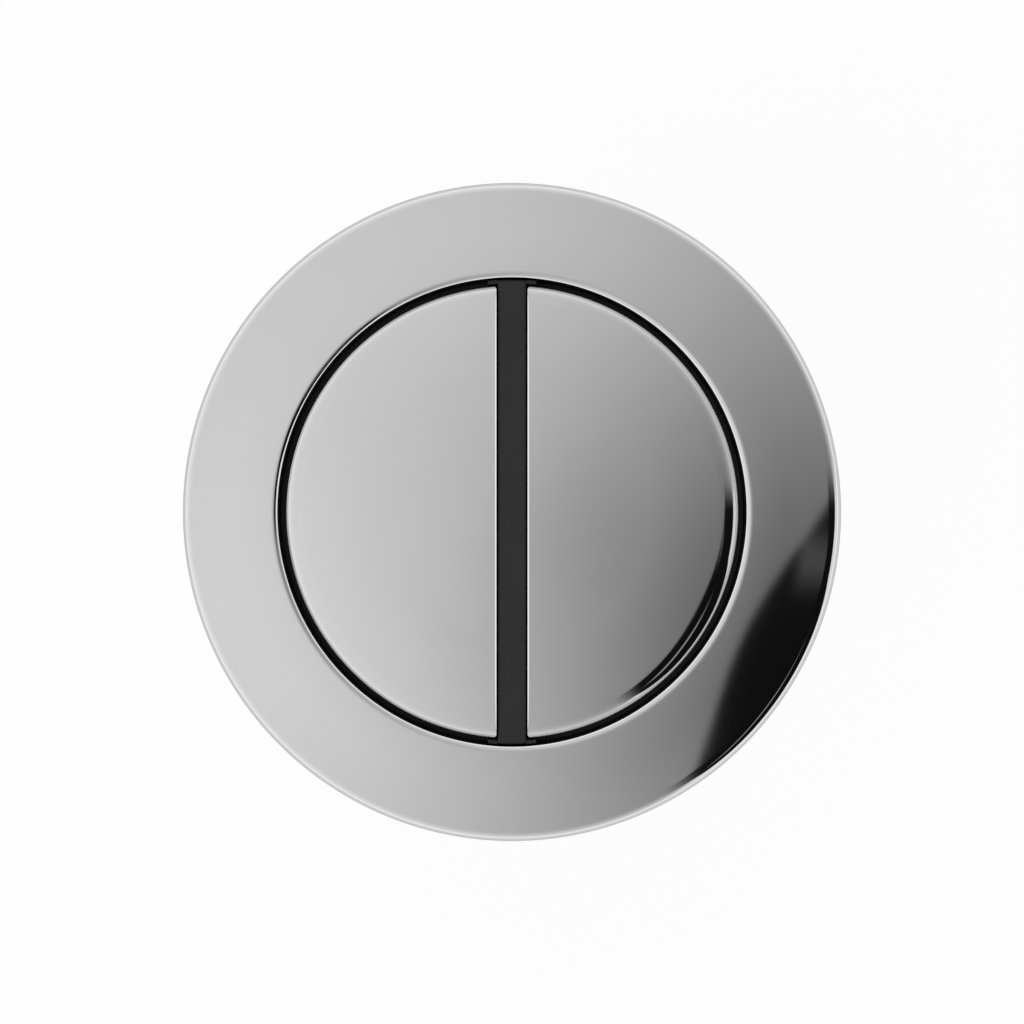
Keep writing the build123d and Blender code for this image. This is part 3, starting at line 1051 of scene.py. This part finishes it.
# %% Six finishes
chrome = finish(
    "polished_chrome",
    shade=(0.6, 0.6, 0.6),
    light=(0.62, 0.62, 0.62),
    grain=900,
    patch=120,
    roughness=(0.03, 0.05),
    bump=0.02,
    bump_height=0.00001,
    metallic=1.0,
    grazing=0.7,
)
black = finish(
    "satin_black_moulding",
    shade=(0.012, 0.012, 0.0122),
    light=(0.017, 0.017, 0.0173),
    grain=9000,
    patch=300,
    roughness=(0.36, 0.46),
    bump=0.2,
    bump_height=0.00002,
    ior=1.4,
)
rubber = finish(
    "gasket_rubber",
    shade=(0.026, 0.026, 0.027),
    light=(0.034, 0.034, 0.034),
    grain=6000,
    patch=200,
    roughness=(0.7, 0.85),
    bump=0.3,
    bump_height=0.00004,
)
grey = finish(
    "grained_grey_moulding",
    shade=(0.27, 0.28, 0.29),
    light=(0.29, 0.30, 0.31),
    grain=5000,
    patch=150,
    roughness=(0.42, 0.55),
    bump=0.25,
    bump_height=0.00003,
)
white = finish(
    "white_acetal",
    shade=(0.80, 0.80, 0.78),
    light=(0.84, 0.84, 0.82),
    grain=4000,
    patch=120,
    roughness=(0.24, 0.34),
    bump=0.08,
    bump_height=0.00002,
)
steel = finish(
    "bright_steel",
    shade=(0.58, 0.58, 0.59),
    light=(0.66, 0.66, 0.67),
    grain=7000,
    patch=400,
    roughness=(0.18, 0.32),
    bump=0.1,
    bump_height=0.00001,
    metallic=1.0,
)

# %% [markdown]
# ## What moves with what
# Each piece stands for one CAD node, which is hidden, rides on the body that holds the node and
# takes its finish. The springs stay with the fixed body.

# %% Ride on the bodies
def place(piece, node, body, material, slot):
    """Gives a piece its finish and its body, and hides the CAD node that it stands for; the slot is not
    used.
    """
    piece.data.materials.clear()
    piece.data.materials.append(material)
    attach(piece, body)
    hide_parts(node)


place(ring, "bezel", "fixed", chrome, "chrome_plate")
place(body, "button_body", "fixed", black, "black_plastic")
place(gasket, "flange_gasket", "fixed", rubber, "gasket_rubber")
place(washer, "clamp_washer", "clamp_washer", grey, "grey_plastic")
place(nut, "clamp_nut", "clamp_nut", grey, "grey_plastic")
buttons = {
    "half_flush": (half_cap, plunger, clip, rod, lock_nut, spring),
    "full_flush": (full_cap, full_plunger, full_clip, full_rod, full_lock_nut, full_spring),
}
TRAVEL = 0.006
for button, (cap, stem, ring_clip, push_rod, hexagon, coil) in buttons.items():
    moving = f"{button}_button"
    place(cap, f"{button}_cap", moving, chrome, "chrome_plate")
    place(stem, f"{button}_plunger", moving, white, "white_acetal")
    place(ring_clip, f"{button}_clip", moving, steel, "bright_steel")
    place(push_rod, f"{button}_rod", moving, white, "white_acetal")
    place(hexagon, f"{button}_lock_nut", moving, white, "white_acetal")
    place(coil, f"{button}_spring", "fixed", steel, "bright_steel")
    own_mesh(coil)

# %% [markdown]
# ## Floor and light
# Polished chrome shows nothing but the room, so the room is the main part of this picture. The sky
# is one smooth formula: pale grey on the left that falls to dark grey on the right, as a large
# softbox that falls off would. It is brighter than paper, because the chrome mirrors only about 0.6
# of what it sees. A dark flag low on the right makes the black patch on the ring, with a white card
# below it and two faint streaks of light in it. Towards the horizon everything is white. Three weak
# softboxes light the plastic pieces. They are hidden from glossy rays, because the chrome would
# mirror them as white squares. The floor is white paper. What looks at it sees mostly plain white,
# and the rest keeps the button's shadow. It stands below a pressed rod, and from below it can be
# looked through, so that the underside can be seen too.

# %% Node tools
# The tools add to the tree that nodes and links stand for at the time: the paper's, then the sky's.
def feed(socket, value):
    """Sets a socket to a number, or links another socket to it."""
    if isinstance(value, (int, float)):
        socket.default_value = value
    else:
        links.new(value, socket)


def calc(operation, *values):
    """A Math node with sockets or numbers as its inputs."""
    node = nodes.new("ShaderNodeMath")
    node.operation = operation
    for socket, value in zip(node.inputs, values):
        feed(socket, value)
    return node.outputs[0]


def soft_step(value, low, high):
    """From 0 to 1 as the value goes from low to high."""
    node = nodes.new("ShaderNodeMapRange")
    node.interpolation_type = "SMOOTHSTEP"
    for name, number in (("Value", value), ("From Min", low), ("From Max", high)):
        feed(node.inputs[name], number)
    return node.outputs["Result"]


def blend(a, b, share):
    """From a to b as the share goes from 0 to 1."""
    node = nodes.new("ShaderNodeMix")
    for name, value in (("Factor", share), ("A", a), ("B", b)):
        feed(node.inputs[name], value)
    return node.outputs["Result"]


# %% Floor
FLOOR_GAP = 0.0005
FLOOR_LEVEL = cad_box[0].z - TRAVEL - FLOOR_GAP  # a pressed rod stays clear of the floor
FLOOR_SIZE = 12.0
PLAIN_WHITE = 0.9  # share of plain white in the floor; the rest keeps the shadow
bpy.ops.object.select_all(action="DESELECT")
bpy.ops.mesh.primitive_plane_add(size=FLOOR_SIZE, location=(0, 0, FLOOR_LEVEL))
ground = named("floor")
ground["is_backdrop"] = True
paper = bpy.data.materials.new("white_paper")
paper.use_nodes = True
nodes, links = paper.node_tree.nodes, paper.node_tree.links
sheet = nodes["Principled BSDF"]
sheet.inputs["Base Color"].default_value = (0.9, 0.9, 0.9, 1)
sheet.inputs["Roughness"].default_value = 0.9
path = nodes.new("ShaderNodeLightPath")
looked_at = calc("MAXIMUM", path.outputs["Is Camera Ray"], path.outputs["Is Glossy Ray"])
looked_at = calc("MAXIMUM", looked_at, path.outputs["Is Transmission Ray"])
glow = nodes.new("ShaderNodeEmission")
mix = nodes.new("ShaderNodeMixShader")
links.new(calc("MULTIPLY", looked_at, PLAIN_WHITE), mix.inputs["Fac"])
links.new(sheet.outputs["BSDF"], mix.inputs[1])
links.new(glow.outputs["Emission"], mix.inputs[2])
underneath = nodes.new("ShaderNodeNewGeometry")
clear = nodes.new("ShaderNodeBsdfTransparent")
one_way = nodes.new("ShaderNodeMixShader")
links.new(underneath.outputs["Backfacing"], one_way.inputs["Fac"])
links.new(mix.outputs["Shader"], one_way.inputs[1])
links.new(clear.outputs["BSDF"], one_way.inputs[2])
links.new(one_way.outputs["Shader"], nodes["Material Output"].inputs["Surface"])
ground.data.materials.append(paper)

# %% Sky
SKY_STRENGTH = 1.41  # a studio's panels are brighter than white paper
SKY_MIDDLE = 0.472  # level straight above
SKY_RIGHT = -0.403  # how it changes to the right and to the back, and how it bends on the way
SKY_BACK = 0.093
SKY_RIGHT_BEND = -0.061
SKY_TWIST = 0.275
SKY_BACK_BEND = 0.152
SKY_SOFT = 0.06  # slope from straight up at which half of the change is done
SKY_EDGE = 0.12  # slope at which all of it is done
SKY_DARKEST = 0.1
SKY_RISE = 0.42  # how far the sky rises to white towards the horizon
RISE_START = 0.2  # slopes between which it rises
RISE_END = 2.0
LEAST_HEIGHT = 0.03  # a direction lower than this counts as this high
LEAST_SLOPE = 0.001  # keeps a division away from zero
FLAG_AZIMUTH = radians(-26.5)
FLAG_START = 0.105  # slope at which the flag starts, in its middle
FLAG_CURVE = 0.26  # how fast its edge draws back to the sides
FLAG_END_AZIMUTH = radians(-34)
FLAG_END = 2.9  # slope at which it ends, at that azimuth
FLAG_END_CURVE = 12.0
FLAG_END_LEAST = 1.1
FLAG_HALF = 0.55  # half of its width, radians
FLAG_SIDE_SOFT = 0.08  # softness of its two sides
FLAG_SOFT = 0.006  # softness of its edge
FLAG_LEVEL = 0.005
CARD_LEVEL = 0.75  # white card below the flag
CARD_BEFORE = 0.15  # the change to the card starts this far before the flag's end
CARD_AFTER = 0.25  # and is done this far after it
HORIZON_LOW = 0.05  # height of a direction below which it is all white
HORIZON_HIGH = 0.38
STREAKS = (  # faint strips of light in the flag: direction, offset, start, end, half width, strength
    (radians(-72), 0.24, 0.2, 0.65, 0.06, 0.33),
    (radians(-9), 0.0, 0.13, 0.2, 0.022, 0.06),
)

world = bpy.data.worlds.new("studio")
bpy.context.scene.world = world
world.use_nodes = True
nodes, links = world.node_tree.nodes, world.node_tree.links


def along(azimuth):
    """The level part of the direction, measured towards an azimuth."""
    return calc("ADD", calc("MULTIPLY", slope_x, cos(azimuth)), calc("MULTIPLY", slope_y, sin(azimuth)))


direction = nodes.new("ShaderNodeSeparateXYZ")
links.new(nodes.new("ShaderNodeTexCoord").outputs["Generated"], direction.inputs[0])
height = direction.outputs["Z"]
up = calc("MAXIMUM", height, LEAST_HEIGHT)
slope_x = calc("DIVIDE", direction.outputs["X"], up)
slope_y = calc("DIVIDE", direction.outputs["Y"], up)
slope_squared = calc("ADD", calc("MULTIPLY", slope_x, slope_x), calc("MULTIPLY", slope_y, slope_y))
slope = calc("SQRT", slope_squared)
safe_slope = calc("MAXIMUM", slope, LEAST_SLOPE)
reach = calc("MINIMUM", slope, SKY_EDGE)
eased = calc("DIVIDE", reach, calc("MULTIPLY", calc("ADD", reach, SKY_SOFT), safe_slope))
right = calc("MULTIPLY", slope_x, eased)
back = calc("MULTIPLY", slope_y, eased)
level = calc("ADD", calc("MULTIPLY", right, SKY_RIGHT), SKY_MIDDLE)
for strength, one, other in (
    (SKY_BACK, back, 1.0),
    (SKY_RIGHT_BEND, right, right),
    (SKY_TWIST, right, back),
    (SKY_BACK_BEND, back, back),
):
    level = calc("ADD", level, calc("MULTIPLY", calc("MULTIPLY", one, other), strength))
level = calc("MAXIMUM", level, SKY_DARKEST)
rise = calc("MULTIPLY", soft_step(slope, RISE_START, RISE_END), SKY_RISE)
level = blend(level, 1.0, rise)

# %% Flag, streaks and horizon
def turn_from(azimuth):
    """Angle from an azimuth to the direction, seen from above."""
    return calc("ARCCOSINE", calc("DIVIDE", along(azimuth), safe_slope))


flag_turn = turn_from(FLAG_AZIMUTH)
end_turn = turn_from(FLAG_END_AZIMUTH)
start_curve = calc("MULTIPLY", calc("MULTIPLY", flag_turn, flag_turn), FLAG_CURVE)
flag_start = calc("ADD", start_curve, FLAG_START)
end_curve = calc("MULTIPLY", calc("MULTIPLY", end_turn, end_turn), FLAG_END_CURVE)
flag_end = calc("SUBTRACT", FLAG_END, end_curve)
flag_end = calc("MAXIMUM", flag_end, FLAG_END_LEAST)
inside = soft_step(calc("SUBTRACT", slope, flag_start), -FLAG_SOFT, FLAG_SOFT)
beside = soft_step(flag_turn, FLAG_HALF - FLAG_SIDE_SOFT, FLAG_HALF + FLAG_SIDE_SOFT)
beyond = soft_step(calc("SUBTRACT", slope, flag_end), -CARD_BEFORE, CARD_AFTER)
flag = blend(FLAG_LEVEL, CARD_LEVEL, beyond)
level = blend(level, flag, calc("MULTIPLY", inside, calc("SUBTRACT", 1.0, beside)))
for towards, off, start, end, half, strength in STREAKS:
    sideways = calc("ABSOLUTE", calc("SUBTRACT", along(towards + pi / 2), off))
    lengthways = calc("ABSOLUTE", calc("SUBTRACT", along(towards), (start + end) / 2))
    thin = calc("SUBTRACT", 1.0, soft_step(sideways, 0.0, half))
    short = calc("SUBTRACT", 1.0, soft_step(lengthways, (end - start) / 4, (end - start) / 2))
    level = calc("ADD", level, calc("MULTIPLY", calc("MULTIPLY", thin, short), strength))
horizon = calc("SUBTRACT", 1.0, soft_step(height, HORIZON_LOW, HORIZON_HIGH))
level = blend(level, 1.0, horizon)
background = nodes["Background"]
background.inputs["Strength"].default_value = SKY_STRENGTH
tone = nodes.new("ShaderNodeCombineColor")
for channel in ("Red", "Green", "Blue"):
    links.new(level, tone.inputs[channel])
links.new(tone.outputs["Color"], background.inputs["Color"])

# %% Softboxes
LAMP_DISTANCE = 1.0
LAMP_SIDE = 0.9


def softbox(name, azimuth, elevation, brightness):
    """A square lamp that faces the button from a direction."""
    level_part = LAMP_DISTANCE * cos(elevation)
    bpy.ops.object.light_add(
        type="AREA",
        location=(level_part * cos(azimuth), level_part * sin(azimuth), LAMP_DISTANCE * sin(elevation)),
        rotation=(pi / 2 - elevation, 0, azimuth + pi / 2),
    )
    lamp = bpy.context.object
    lamp.name = name
    lamp.data.size = LAMP_SIDE
    lamp.data.energy = brightness * pi * LAMP_SIDE**2
    lamp.visible_glossy = False
    print(name, round(lamp.data.energy, 2), "W")


softbox("key_softbox", azimuth=radians(215), elevation=radians(32), brightness=0.8)
softbox("back_softbox", azimuth=radians(95), elevation=radians(28), brightness=0.5)
softbox("right_softbox", azimuth=radians(335), elevation=radians(28), brightness=0.5)

# %% [markdown]
# ## Camera
# The photograph looks straight down on the button, so the camera stands above the axis. Its height
# is chosen close enough for the flat caps to mirror a small piece of the sky, and the lens gives
# the ring its size in the frame.

# %% Camera
FRAME_SIDE = 1024
RING_PIXELS = 658.2
WIDEST_Z = face_height(RING_R) - RIM_ROUND  # the level where the ring is widest
CAMERA_ABOVE = 0.35
view_width = 2 * RING_R * FRAME_SIDE / RING_PIXELS
lens = bpy.data.cameras.new("camera")
lens.sensor_width = 36.0
lens.lens = lens.sensor_width * CAMERA_ABOVE / view_width
lens.clip_start = 0.01
camera = bpy.data.objects.new("camera", lens)
camera.location = (0, 0, WIDEST_Z + CAMERA_ABOVE)
bpy.context.scene.collection.objects.link(camera)
bpy.context.scene.camera = camera
bpy.context.scene.view_settings.view_transform = "Standard"
print("lens", round(lens.lens, 1), "mm")

# %% [markdown]
# ## Sizes
# The modelled pieces have to stay inside the CAD box, so both boxes are measured, and the largest
# growth past it is printed.

# %% Compare the boxes
visual_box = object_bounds()
growth = [max(b - a) for a, b in ((cad_box[1], visual_box[1]), (visual_box[0], cad_box[0]))]
print("largest growth", max(growth))
